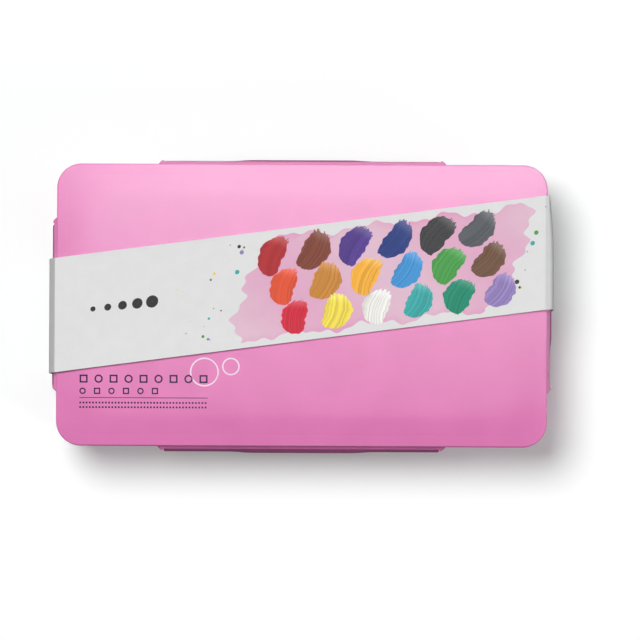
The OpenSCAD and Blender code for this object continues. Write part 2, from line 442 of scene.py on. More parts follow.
def linear(red: float, green: float, blue: float) -> tuple[float, ...]:
    """Linear colour of an sRGB one given from 0 to 255, with alpha 1."""
    c = np.array([red, green, blue]) / 255
    c = np.where(c <= 0.04045, c / 12.92, ((c + 0.055) / 1.055) ** 2.4)
    return (*map(float, c), 1.0)


def shaded(colour: tuple, factor: float) -> tuple:
    """The colour with its three channels multiplied."""
    return (*(c * factor for c in colour[:3]), 1.0)


def new_material(name: str) -> tuple[Material, Wiring]:
    """An empty material and its wiring."""
    material = bpy.data.materials.new(name)
    material.use_nodes = True
    return material, Wiring(material.node_tree)


@dataclass(frozen=True)
class Finish:
    """What every finish has: group is a shared node group, and depth its bump's, in millimetres."""

    name: str
    colour: tuple
    roughness: float
    group: NodeTree | None = None
    depth: float = 0.006

    def look(self, w: Wiring) -> Look:
        """The shader's inputs that change over the surface, and the bump's height."""
        raise NotImplementedError

    def uneven(self, w: Wiring, value: Socket, less: float, more: float) -> Socket:
        """Roughness that follows a value about the finish's own."""
        return w.ramp(value, 0.3, 0.7, self.roughness - less, self.roughness + more)

    def material(self) -> Material:
        """Builds the material around a Principled shader."""
        material, w = new_material(self.name)
        shader = w.add("BsdfPrincipled", {"Base Color": self.colour, "Roughness": self.roughness})
        w.add("OutputMaterial", {"Surface": shader.outputs[0]})
        inputs, height = self.look(w)
        bump = w.add("Bump", {"Height": height, "Distance": self.depth * MM, "Strength": 1.0})
        w.feed(shader, {**inputs, "Normal": bump.outputs[0]})
        return material


@dataclass(frozen=True)
class MouldedPlastic(Finish):
    """Satin moulded plastic with grain, slow mottling and faint rub marks."""

    depth: float = 0.004
    grain: float = 1.0
    marks: float = 1.0

    def look(self, w: Wiring) -> Look:
        """Tone and roughness follow the skin's mottling, and the rub marks pale and dull them."""
        skin = w.add("Group", {"Grain": self.grain, "Marks": self.marks}, node_tree=self.group).outputs
        rub = w.maths("MULTIPLY", skin["Rub"], 0.12)
        tone = w.mix(w.ramp(skin["Mottle"], 0.3, 0.7), shaded(self.colour, 0.975), shaded(self.colour, 1.02))
        rough = w.ramp(skin["Mottle"], 0.25, 0.75, self.roughness - 0.03, self.roughness + 0.03)
        paled = w.mix(rub, tone, (0.95, 0.8, 0.9, 1))
        return {"Base Color": paled, "Roughness": w.maths("ADD", rough, rub)}, skin["Height"]


@dataclass(frozen=True)
class Card(Finish):
    """White coated card with fibres, cloudy formation and a soft sheen; a tinted one is inked."""

    tinted: bool = False

    def look(self, w: Wiring) -> Look:
        """Tone and roughness follow the card's formation; the ink is the mesh's attribute."""
        fibre = w.add("Group", {"Strength": 1.0}, node_tree=self.group).outputs
        ink, darker = self.colour, shaded(self.colour, 0.97)
        if self.tinted:
            ink = w.add("Attribute", attribute_name="ink").outputs["Color"]
            darker = w.mix(0.035, ink, (0, 0, 0, 1))
        inputs = {"Base Color": w.mix(w.ramp(fibre["Cloud"], 0.3, 0.7), darker, ink),
                  "Roughness": self.uneven(w, fibre["Cloud"], 0.04, 0.04), "Specular IOR Level": 0.2}
        return inputs, fibre["Height"]


@dataclass(frozen=True)
class SealFilm(Finish):
    """Milky laminated film, wrinkled by its heat seal, that lets the paint's colour through."""

    depth: float = 0.12
    cover: float = 0.62

    def look(self, w: Wiring) -> Look:
        """Cloudy tone and cover, and creases that run along Y."""
        cloud = w.noise(4.0, 3.0)
        inputs = {"Alpha": w.ramp(cloud, 0.3, 0.75, self.cover - 0.08, self.cover + 0.1),
                  "Base Color": w.mix(cloud, shaded(self.colour, 0.96), self.colour)}
        return inputs, w.noise(2.2, 2.0, (1, 0.35, 1))


@dataclass(frozen=True)
class Rubber(Finish):
    """Soft moulded silicone with a powdery surface."""

    def look(self, w: Wiring) -> Look:
        """Darker specks of dust and a fine grain."""
        dust = w.ramp(w.noise(1.5, 4.0), 0.4, 0.8)
        return {"Base Color": w.mix(dust, self.colour, shaded(self.colour, 0.93))}, w.noise(0.4, 3.0)


@dataclass(frozen=True)
class Gouache(Finish):
    """Moist gouache: streaks of thicker pigment and a wet sheen in the hollows."""

    depth: float = 0.12

    def look(self, w: Wiring) -> Look:
        """Tone and roughness follow the streaks."""
        streak = w.noise(5.0, 4.0, (1, 0.4, 1), Distortion=1.2)
        pale = w.mix(0.14, self.colour, (1, 1, 1, 1))
        inputs = {"Base Color": w.mix(w.ramp(streak, 0.35, 0.75), shaded(self.colour, 0.86), pale),
                  "Roughness": self.uneven(w, streak, 0.1, 0.12)}
        return inputs, w.noise(1.2, 4.0)


# ---- Pieces ----


def new_object(name: str, data: bpy.types.ID) -> bpy.types.Object:
    """An object in the scene."""
    made = bpy.data.objects.new(name, data)
    bpy.context.scene.collection.objects.link(made)
    return made


def new_mesh(name: str, surface: Surface, material: Material) -> bpy.types.Mesh:
    """A surface's mesh in metres."""
    mesh = bpy.data.meshes.new(name)
    faces = surface.quads.tolist() + [list(e) for e in surface.ends]
    mesh.from_pydata((surface.points * MM).tolist(), [], faces)
    mesh.materials.append(material)
    return mesh


def make_piece(name: str, surface: Surface, material: Material, body: str,
               replaces: tuple[str, ...] = (),
               sharp: float = 35.0, bevel: float = 0.0, solid: bool = True) -> None:
    """Makes a finished piece that rides on a body.

    Args:
        name: the piece's name.
        surface: its surface in millimetres.
        material: its finish.
        body: the body it rides on.
        replaces: the nodes it stands for.
        sharp: edges that turn by more degrees than this stay sharp.
        bevel: width of the bevel on those edges, in millimetres; 0 leaves it out.
        solid: False keeps the faces as they were wound, for a print on a surface.
    """
    mesh = new_mesh(name, surface, material)
    if surface.tint is not None:
        layer = mesh.color_attributes.new("ink", "FLOAT_COLOR", "POINT")
        layer.data.foreach_set("color", surface.tint.astype(np.float32).ravel())
    if solid:
        shape = bmesh.new()
        shape.from_mesh(mesh)
        bmesh.ops.remove_doubles(shape, verts=shape.verts, dist=1e-6)
        bmesh.ops.recalc_face_normals(shape, faces=shape.faces)
        shape.to_mesh(mesh)
        shape.free()
    mesh.shade_smooth()
    mesh.set_sharp_from_angle(angle=math.radians(sharp))
    piece = new_object(name, mesh)
    if bevel:
        edge = piece.modifiers.new("edges", "BEVEL")
        edge.width = bevel * MM
        edge.segments = 2
        edge.limit_method = "ANGLE"
        edge.angle_limit = math.radians(sharp)
    if solid:
        weight = piece.modifiers.new("flats", "WEIGHTED_NORMAL")
        weight.keep_sharp = True
    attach(piece, body)
    if replaces:
        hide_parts(*replaces)
    LOG.info("%s: %d faces on %s", name, len(mesh.polygons), body)


@dataclass
class Lid:
    """Crowned lid with a rolled edge, a short skirt, a seal seat inside and ears for the latches."""

    case: Case
    top: float = 47.0
    skirt: float = 32.0
    wall: float = 2.0
    roll_inset: float = 0.9
    roll_drop: float = 0.8
    skirt_top: float = 42.0
    slopes: tuple[float, float] = (0.09, 0.17)
    bend_inset: float = 17.5
    bend_softness: float = 1.9
    swell: float = 0.35
    contour_corner: float = 34.0
    crease_inset: float = 7.0
    crease_depth: float = 0.045
    crease_width: float = 0.7
    ledge: float = 39.6
    rib: tuple[float, float] = (5.35, 6.85)
    rib_foot: float = 38.0
    seat: float = 40.5
    roof_inset: float = 9.0
    roof_edge: tuple[float, float] = (2.3, 41.3)
    ear_radius: float = 1.35
    ear_slope: float = 1.1
    ear_length: float = 3.4
    ear_tip: float = 0.6
    hollow: float = 0.97

    def height(self, flat: Array) -> Array:
        """Height of the outer top over (x, y) points.

        With e the distance inside a rounded rectangle of large corner radius, the top falls by
        slope * w * ln(1 + exp((bend - e) / w)), a straight lean towards the edge that bends
        into a nearly flat middle, and by swell * (1 - (1 - u^2)(1 - v^2)) over the whole lid.
        The slope at the ends differs from the one along the long sides and changes over round
        the corners. A faint groove depth * exp(-((d - inset) / width)^2) runs round at the inset d.
        """
        half = np.array(self.case.half)

        def inside(radius: float) -> Array:
            """Distance inside the plan drawn with a corner radius."""
            q = np.abs(flat) - (half - radius)
            return radius - np.linalg.norm(np.maximum(q, 0), axis=-1) - np.minimum(q.max(-1), 0)

        u = (flat / half) ** 2
        share = np.maximum(np.abs(flat) - (half - self.contour_corner), 1e-6) ** 2
        slope = (share * self.slopes).sum(-1) / share.sum(-1)
        bend = (self.bend_inset - inside(self.contour_corner)) / self.bend_softness
        lean = slope * self.bend_softness * np.log1p(np.exp(bend))
        off = (inside(self.case.corner) - self.crease_inset) / self.crease_width
        groove = self.crease_depth * np.exp(-off ** 2)
        return self.top - lean - groove - self.swell * (1 - (1 - u[..., 0]) * (1 - u[..., 1]))

    def scaled_rings(self, inset: float, drop: float) -> Array:
        """Rings that shrink from an inset to the middle, drop below the outer top."""
        ring = self.case.rings(np.array([inset]), np.zeros(1))[0, :, :2]
        near = np.concatenate([np.arange(0, 8, 0.35), np.arange(8, 34, 1.0)]) / (self.case.half[1] - inset)
        share = 1 - np.concatenate([near, np.linspace(near[-1], 1, 12)[1:]])
        flat = ring[None] * share[:, None, None]
        return at_height(flat, self.height(flat) - drop)

    def shell(self) -> Surface:
        """Closed surface: crown, quarter-ellipse roll, skirt, seal seat, inner roll and roof."""
        crown = self.scaled_rings(self.roll_inset, 0)[::-1]
        angle = np.linspace(0, np.pi / 2, 12)[1:-1]
        across, up = np.cos(angle), np.sin(angle)
        roll = self.case.rings(self.roll_inset * (1 - up),
                               crown[-1, :, 2] - self.roll_drop * (1 - across[:, None]))
        outer, inner = self.rib
        inset, edge = self.roof_edge
        walls = soften(
            [(0, self.skirt_top), (0, self.skirt), (self.wall, self.skirt), (self.wall, self.ledge),
             (outer, self.ledge), (outer, self.rib_foot), (inner, self.rib_foot), (inner, self.seat),
             (inset, self.seat), (inset, edge)], [0, 0.55, 0.5, 0.35, 0.2, 0.35, 0.35, 0.3, 0.3, 0])
        roof = self.scaled_rings(self.roof_inset, self.wall)
        inside = self.case.rings(self.roof_inset - (self.roof_inset - inset) * across,
                                 edge + (roof[0, :, 2] - edge) * up[:, None])
        return loft(np.concatenate([crown, roll, self.case.rings(*walls.T), inside, roof]))

    def ear(self, side: Side, sign: int) -> Surface:
        """One ear: round below, sloped at 45 degrees above, its outer end cut at 45 degrees in plan."""
        sunk, root, half = 0.1, 1.0, side.latch / 2
        face = sum(self.case.axis) + self.ear_slope + sunk
        back = [[-sunk, face], [-root, face], [-root, self.case.axis[1] - self.ear_radius]]
        section = np.concatenate([arc(self.ear_radius, -90, 45, 13, self.ear_slope) + self.case.axis, back])
        stations = np.sort(sign * (half - np.linspace(self.ear_length, 0, 9)))
        return self.case.carry(section, stations, side, self.ear_tip + half - np.abs(stations))

    def hood(self, side: Side) -> Surface:
        """Small ledge over a latch's knuckle: hollow below on an arc about the hinge, sloped above."""
        under = arc(self.hollow, 178, 120, 10) + self.case.axis
        above = soften([tuple(under[-1]), (1.0, 40.6), (-0.1, 41.7), (-1.3, 41.9), (-1.3, 39.6)],
                       [0, 0.1, 0.2, 0.1, 0])
        reach = fine_ends(np.linspace(0, 2.5, 7), side.latch, 30)
        limit = np.minimum(reach, side.latch - reach) - 0.2
        return self.case.carry(np.concatenate([under[:-1], above]), reach - side.latch / 2, side, limit)

    def build(self, plastic: Material) -> None:
        """Makes the lid's piece."""
        parts = [self.shell(), *(self.ear(side, sign) for side in Side for sign in (-1, 1)),
                 *(self.hood(side) for side in Side)]
        make_piece("lid", Surface.joined(parts), plastic, "lid", ("lid_shell",))


@dataclass
class Latch:
    """Snap latch: a plate that hangs from two pins, with a flared finger lip and 45-degree catches."""

    case: Case
    side: Side
    lip: float
    ear: float = 3.6
    knuckle: float = 0.85
    knuckle_slope: float = 0.78
    pin: float = 0.65
    plate: float = 0.6
    back: float = 0.65
    foot: float = 19.5
    nose: float = 2.6
    swell: float = 0.8
    swell_share: float = 0.17
    flare: float = 12.0

    def section(self) -> Array:
        """Plate, knuckle cut at 45 degrees and lip as one closed (depth, height) outline."""
        knuckle = arc(self.knuckle, 234, 0, 20, self.knuckle_slope)
        knuckle[:, 0] = np.minimum(knuckle[:, 0], self.plate)
        front, neck = self.case.axis[0] + self.plate, self.case.axis[1] - 4
        lower = soften([(front, neck), (front, self.foot + self.flare), (self.lip, self.foot + 1.2),
                        (self.lip, self.foot), (self.back + 0.6, self.foot), (self.back, self.foot + 0.9),
                        (self.back, neck)], [0, 2.0, 0.5, 0.5, 0.4, 0.4, 0])
        return np.concatenate([knuckle + self.case.axis, lower])

    def surface(self) -> Surface:
        """The plate, whose lip swells along its middle, with its catches and pins."""
        width = self.side.latch - 2 * self.ear
        reach = fine_ends(np.array([0, 0.2, 0.6, 1.0, 1.4, 1.8, 2.2, 3.0, 5.0]), width, 40)
        stations = reach - width / 2
        rows = np.repeat(self.section()[None], len(stations), 0)
        outer = rows[..., 0] > 1.6
        low = np.clip((self.foot + self.flare - rows[..., 1]) / self.flare, 0, 1) * outer
        span = self.side.latch * self.swell_share
        bulge = self.swell * smooth_step((span * 1.5 - np.abs(stations)) / (span * 0.5))
        rows[..., 0] += low * bulge[:, None]
        catch = soften([(0.95, 27.95), (-1.3, 25.7), (-1.3, 24.7), (0.95, 23.0)], [0.1, 0.35, 0.3, 0.1], True)
        pin = arc(self.pin, 0, 342, 20) + self.case.axis
        limit = self.nose + np.minimum(reach, width - reach)
        return Surface.joined([
            self.case.carry(rows, stations, self.side, limit),
            *(self.case.carry(catch, x + spread(28, 7), self.side) for x in self.side.catches),
            *(self.case.carry(pin, s * width / 2 + spread(2.6, 1.3), self.side) for s in (-1, 1))])

    def build(self, plastic: Material) -> None:
        """Makes the latch's piece."""
        name = f"latch_{self.side.name.lower()}"
        make_piece(name, self.surface(), plastic, name, (name,), bevel=0.22)


@dataclass
class Base:
    """Lower case: drafted tub with a bead and an upright rim, deck with cup holes, brush trough, lugs."""

    case: Case
    grid: CupGrid
    underside: float = 1.3
    inner_floor: float = 2.6
    deck_top: float = 31.5
    deck_low: float = 29.3
    deck_inset: float = 3.7
    hole_half: float = 19.3
    hole_corner: float = 4.2
    trough_half: tuple[float, float] = (138.0, 13.0)
    trough_corner: float = 6.0
    trough_cell: float = 16.0
    trough_floor: float = 4.5
    trough_wall: float = 1.5

    def tub(self) -> Surface:
        """Outer and inner wall as one closed surface of rings round the case."""
        rings = self.case.rings(*soften(
            [(13.4, self.underside), (12.2, self.underside), (11.4, 0.6), (5.61, 0.6), (1.85, 30), (0.3, 30),
             (0.3, 31.4), (2.55, 31.4), (2.55, 37), (4.35, 37), (4.35, 27.5), (7.24, self.inner_floor),
             (11.5, self.inner_floor)], [0, 0.4, 0.4, 2.6, 0.15, 0.4, 0.4, 0.15, 0.5, 0.5, 0.5, 2.0, 0]).T)
        share = np.linspace(0, 1, 6)[:, None, None]
        under = at_height(rings[:1, :, :2] * share, self.underside)
        floor = at_height(rings[-1:, :, :2] * share[::-1], self.inner_floor)
        return loft(np.concatenate([under[:-1], rings, floor[1:]]))

    def cell(self, xs: Array, ys: Array) -> Array:
        """Points round a deck cell, anticlockwise from its lower left corner, of shape (points, 2)."""
        wide, high = np.ones(len(xs) - 1), np.ones(len(ys) - 1)
        return np.stack([np.concatenate([xs[:-1], high * xs[-1], xs[:0:-1], high * xs[0]]),
                         np.concatenate([wide * ys[0], ys[:-1], wide * ys[-1], ys[:0:-1]])], -1)

    def pressed(self, points: Array, centre: Array, half: Array | float, radius: float) -> Array:
        """Moves the points round a centre onto a rounded rectangle: out from its straight core."""
        local = points - centre
        local = local / np.abs(local).max(0) * half
        core = np.clip(local, radius - half, half - radius)
        out = local - core
        return centre + core + out / np.linalg.norm(out, axis=-1, keepdims=True) * radius

    def holed_cell(self, xs: Array, ys: Array) -> Surface:
        """Deck cell with a hole right through it, its upper edge eased."""
        edge = self.cell(xs, ys)
        centre = np.array([(xs[0] + xs[-1]) / 2, (ys[0] + ys[-1]) / 2])
        top, low = self.deck_top, self.deck_low
        walls = [at_height(self.pressed(edge, centre, self.hole_half + g, self.hole_corner + g), z)
                 for g, z in ((0.5, top), (0.15, top - 0.12), (0, top - 0.5), (0, low))]
        return loft(np.stack([at_height(edge, top), *walls, at_height(edge, low)]))

    def trough(self, xs: Array, ys: Array) -> list[Surface]:
        """Brush trough: the deck runs into a double-walled pocket with rounded floor edges."""
        edge = self.cell(xs, ys)
        centre = np.array([0.0, (ys[0] + ys[-1]) / 2])
        skins = []
        for grow, start, end in ((0.0, self.deck_top, self.trough_floor),
                                 (self.trough_wall, self.deck_low, self.trough_floor - self.trough_wall)):
            half, radius = np.array(self.trough_half) + grow, self.trough_corner + grow
            wall = soften([(0.6, start), (0, start), (0, end), (-6.0, end)], [0, 0.5, 3.0, 0])
            rings = [at_height(self.pressed(edge, centre, half + g, radius + max(g, -5)), z) for g, z in wall]
            line = centre + (edge - centre) * [0.85, 0.0]
            skins.append(loft(np.stack([at_height(edge, start), *rings, at_height(line, end)])))
        return skins

    def deck(self) -> Surface:
        """Deck of eighteen cup cells, the trough cell and a border that runs into the rim."""
        px, py = self.grid.pitch
        fine = 26
        xs = np.linspace(-3 * px, 3 * px, 6 * fine + 1)
        ys = self.grid.middle_y + np.linspace(-1.5 * py, 1.5 * py, 3 * fine + 1)
        low_ys = np.linspace(ys[0] - 2 * self.trough_cell, ys[0], fine + 1)
        starts = [(c * fine, r * fine) for r in range(3) for c in range(6)]
        cells = [self.holed_cell(xs[i:i + fine + 1], ys[j:j + fine + 1]) for i, j in starts]
        border = self.cell(xs, np.concatenate([low_ys[:-1], ys]))
        outer = self.pressed(border, np.zeros(2), np.array(self.case.half) - self.deck_inset,
                             self.case.corner - self.deck_inset)
        rings = [at_height(flat, z) for flat, z in ((border, self.deck_top), (outer, self.deck_top),
                                                    (outer, self.deck_low), (border, self.deck_low))]
        return Surface.joined([*cells, *self.trough(xs, low_ys), loft(np.stack(rings))])

    def build(self, plastic: Material) -> None:
        """Makes the base's piece, with a lug on the wall for each catch of the latches."""
        lug = soften([(-3.2, 30.2), (0.15, 28.6), (0.15, 27), (-3.2, 23.95)], [0.1, 0.5, 0.35, 0.1], True)
        lugs = [self.case.carry(lug, x + spread(30, 7.5), side) for side in Side for x in side.catches]
        make_piece("base", Surface.joined([self.tub(), self.deck(), *lugs]), plastic, "base",
                   ("base_tray",))


# sRGB colours of the paints, in the cups' order
PIGMENTS = ((184, 26, 36), (122, 51, 33), (92, 51, 140), (33, 46, 107), (20, 20, 23), (64, 66, 71),
            (227, 66, 33), (201, 140, 41), (247, 173, 33), (61, 153, 214), (51, 143, 69), (92, 61, 38),
            (212, 31, 66), (247, 222, 61), (245, 245, 240), (240, 240, 242), (26, 133, 135), (20, 128, 92))


@dataclass
class PaintCups:
    """Eighteen square cups with their gouache and their peel-off films."""

    grid: CupGrid
    rim: float = 32.4
    floor: float = 5.4
    floor_half: float = 15.0
    taper: float = 0.12037
    wall: float = 0.8
    flange_half: float = 20.75
    flange: float = 0.9
    corner: float = 4.0
    depth: float = 21.0
    film_half: float = 20.5
    film: float = 0.15
    tab: tuple[float, float] = (6.0, 4.6)

    def squares(self, half: Array, height: Array) -> Array:
        """Rings of rounded squares."""
        radius = np.minimum(self.corner, half * 0.95)
        return rounded_rings(np.stack([half, half], -1), radius, height, rounded_pattern(7, 8, 8))

    def cup(self) -> Surface:
        """One thin-walled cup at the middle of the frame."""
        base, bottom, under = self.floor_half + self.wall, self.floor - self.wall, self.rim - self.flange
        outer = base + self.taper * (under - self.floor)
        inner = self.floor_half + self.taper * (self.rim - self.floor)
        return loft(self.squares(*soften(
            [(0.01, bottom), (base, bottom), (outer, under), (self.flange_half, under),
             (self.flange_half, self.rim), (inner, self.rim), (self.floor_half, self.floor),
             (0.01, self.floor)], [0, 1.5, 0.3, 0.25, 0.3, 0.4, 2.2, 0]).T))

    def paint(self, number: int) -> Surface:
        """One block of paint, its top stirred into a swirl.

        The top is raised by 1.3 (0.5 + 0.5 cos(2 t + r / 2.2 + p)) exp(-(r / 11)^2) plus small
        waves, with r and t the distance and angle from a stirred point and p the paint's phase.
        It flattens out within 3 mm of the wall, where it climbs a little.
        """
        top, bottom = self.floor + self.depth, self.floor + 0.05
        half = self.floor_half + self.taper * self.depth - 0.05
        share = np.concatenate([[0.0], np.linspace(0.06, 1.0, 22)])
        rings = self.squares(np.maximum(share * half, 0.01), 0 * share + top)
        phase = number * 2.4
        x, y = rings[..., 0] - 2.5 * math.cos(phase), rings[..., 1] - 2.5 * math.sin(phase)
        r, t = np.hypot(x, y), np.arctan2(y, x)
        free = smooth_step((half - np.abs(rings[..., :2]).max(-1)) / 3)
        swirl = (0.5 + 0.5 * np.cos(t * 2 + r / 2.2 + phase)) * np.exp(-(r / 11) ** 2)
        waves = 0.25 * np.sin(x / 2.9 + phase) * np.cos(y / 3.7 - phase)
        rings[..., 2] += free * (1.3 * swirl + waves) + 0.35 * (1 - 2 * free)
        side = self.squares(np.array([half - self.taper * 8, self.floor_half + 0.02, 0.01]),
                            np.array([top - 8, bottom, bottom]))
        return loft(np.concatenate([rings, side]))

    def film_sheet(self, number: int) -> Surface:
        """One peel-off sheet with a pull tab: sealed flat on the flange, slack over the cup."""
        h, (tab, length) = self.film_half, self.tab
        reach = h + length
        outline = soften([(-h, -h), (h, -h), (h, -tab), (reach, -tab), (reach, tab), (h, tab), (h, h),
                          (-h, h)], [4, 4, 1.2, 2.5, 2.5, 1.2, 4, 4], True)
        share = np.concatenate([np.linspace(0, 0.9, 13), [0.96, 1.0]])
        flat = outline[None] * share[:, None, None]
        x, y = flat[..., 0], flat[..., 1]
        slack = smooth_step((18.2 - np.abs(flat).max(-1)) / 7)
        phase = number * 1.7
        wrinkle = 0.13 * np.sin(x * 0.9 + y * 0.5 + phase) * np.cos(y * 0.7 - phase)
        curl = 0.9 * smooth_step((x - h) / length) * (np.abs(y) < tab + 0.1)
        lower = at_height(flat, self.rim + 0.02 + slack * (wrinkle - 0.35) + curl)
        return loft(np.concatenate([lower, (lower + [0, 0, self.film])[::-1]]))

    def build(self, plastic: Material, film: Material) -> None:
        """Makes eighteen cups and paints, and one piece for each row of films."""
        for n, colour in enumerate(PIGMENTS, 1):
            place = self.grid.centre(n)
            make_piece(f"cup_body_{n:02d}", self.cup().moved(*place), plastic, "base",
                       (f"cup_{n:02d}",))
            gouache = Gouache(f"gouache_{n:02d}", linear(*colour), 0.36).material()
            make_piece(f"gouache_{n:02d}", self.paint(n).moved(*place), gouache, "base",
                       (f"paint_{n:02d}",), sharp=80)
        for row, name in enumerate(("back", "middle", "front")):
            sheets = [self.film_sheet(n).moved(*self.grid.centre(n)) for n in range(row * 6 + 1, row * 6 + 7)]
            make_piece(f"films_{name}", Surface.joined(sheets), film, "base",
                       (f"foil_row_{name}",), sharp=60)


@dataclass
class Gasket:
    """Soft seal in the lid: a flat ring with two small lips on its underside."""

    case: Case
    width: float = 3.2
    lip: float = 0.35

    def build(self, rubber: Material) -> None:
        """Makes the gasket's piece."""
        foot, top = (v.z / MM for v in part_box("lid_gasket"))
        e0, e1, low = self.case.gasket_inset, self.case.gasket_inset + self.width, foot + self.lip
        outline = soften([(e0, low), (e0 + 0.5, foot), (e0 + 1.0, low), (e1 - 1.0, low), (e1 - 0.5, foot),
                          (e1, low), (e1, top), (e0, top)], 0.15, True, 4)
        make_piece("gasket", loft(self.case.rings(*outline.T), around=True), rubber, "lid",
                   ("lid_gasket",))


# ---- Card band and prints ----


@dataclass
class Band:
    """Slanted card band: a top and a back run, and an end panel that bulges out at each end."""

    case: Case
    width: float = 70.6
    lean: float = 7.5
    shift: float = 13.3
    card: float = 0.5
    gap: float = 0.05
    top: float = 47.0
    bulges: tuple[float, float] = (4.5, 3.6)
    shoulders: tuple[float, float] = (0.0, 0.8)
    crease_out: float = 0.85
    droop: float = 1.4
    droop_length: float = 2.2
    lift: float = 1.3

    @property
    def slope(self) -> float:
        """Drift towards +Y per millimetre along +X."""
        return math.tan(math.radians(self.lean))

    @property
    def half(self) -> float:
        """Half of the band's size along Y."""
        return self.width / 2 / math.cos(math.radians(self.lean))

    @property
    def crease(self) -> float:
        """Distance of the creases from the middle."""
        return self.case.half[0] + self.crease_out

    def loose(self, x: Array, across: Array) -> Array:
        """How far the top run stands off the lid: its front edge lifts, most towards the left end."""
        free = np.clip(1 - (x / self.crease) ** 8, 0, 1)
        tapered = 0.75 - 0.25 * x / self.case.half[0]
        return self.lift * free * tapered * smooth_step((-across - 0.35) / 0.65)

    def run(self, half_x: float, low: float, lifted: bool) -> Surface:
        """A flat run of the band: a thin closed slab.

        Args:
            half_x: half of its length.
            low: height of its underside.
            lifted: True lifts its front edge off what it lies on and bends its right end down.

        Returns:
            The slab.
        """
        x = np.concatenate([spread(2 * half_x, 4.0)[:-1], half_x + np.linspace(-self.droop_length, 0, 8)])
        x, v = np.meshgrid(x, np.linspace(-1, 1, 41), indexing="ij")
        y = self.shift + self.slope * x + v * self.half
        bend = self.droop * np.clip(1 - (half_x - x) / self.droop_length, 0, 1)
        lower = np.stack([x, y, low + (self.loose(x, v) - bend if lifted else 0 * x)], -1)
        return closed_bar(np.concatenate([lower + [0, 0, self.card], lower[:, ::-1]], 1))

    def end(self, sign: int) -> Surface:
        """An end panel: x = crease + (foot - crease) t + bulge * bow(t), offset by half the card.

        The bow mixes sin(pi t) with (1 - exp(-t / 0.036)) (1 - exp((t - 1) / 0.12)), a shoulder
        close under the crease. The right panel's bulge shrinks with the square towards the back.
        """
        t = 0.5 - 0.5 * np.cos(np.linspace(0, np.pi, 61))
        v = np.linspace(-1, 1, 25)
        foot, half_card, right = self.case.half[0] + self.gap, self.card / 2, sign > 0
        high, low = self.top + self.gap + half_card - self.droop * right, self.gap + half_card
        shoulder = self.shoulders[right]
        bow = (shoulder * (1 - np.exp(-t / 0.036)) * (1 - np.exp((t - 1) / 0.12))
               + (1 - shoulder) * np.sin(np.pi * t))
        bulge = self.bulges[right] - 2.0 * right * np.maximum(v + 0.2, 0) ** 2
        x = self.crease + (foot - self.crease) * t + bulge[:, None] * bow
        middle = np.stack([x, np.broadcast_to(high + (low - high) * t, x.shape)], -1)
        along = np.gradient(middle, axis=1)
        along[:, [0, -1]] = [[1, 0], [-1, 0]]
        out = leftwards(along) * half_card
        section = np.concatenate([middle + out, (middle - out)[:, ::-1]], 1)
        y = self.shift + self.slope * sign * self.crease + v * self.half
        y = np.broadcast_to(y[:, None], section.shape[:2])
        return closed_bar(np.stack([sign * section[..., 0], y, section[..., 1]], -1))

    def build(self, card: Material) -> None:
        """Makes the band's four pieces; the runs end just inside the end panels."""
        sunk = 0.02
        pieces = {"top_run": self.run(self.crease - sunk, self.top + self.gap, True),
                  "back_run": self.run(self.case.half[0] + self.gap - sunk, 0.0, False),
                  "left_end": self.end(-1), "right_end": self.end(1)}
        for name, surface in pieces.items():
            part = name.split("_")[0]
            make_piece(f"band_{name}", surface, card, f"band_{part}", (f"sleeve_{part}_panel",))


@dataclass(frozen=True)
class Dab:
    """One brush dab printed on the band; across is its place from -1 to 1 over the band's width."""

    x: float
    across: float
    length: float
    width: float
    turn: float
    colour: tuple[int, int, int]


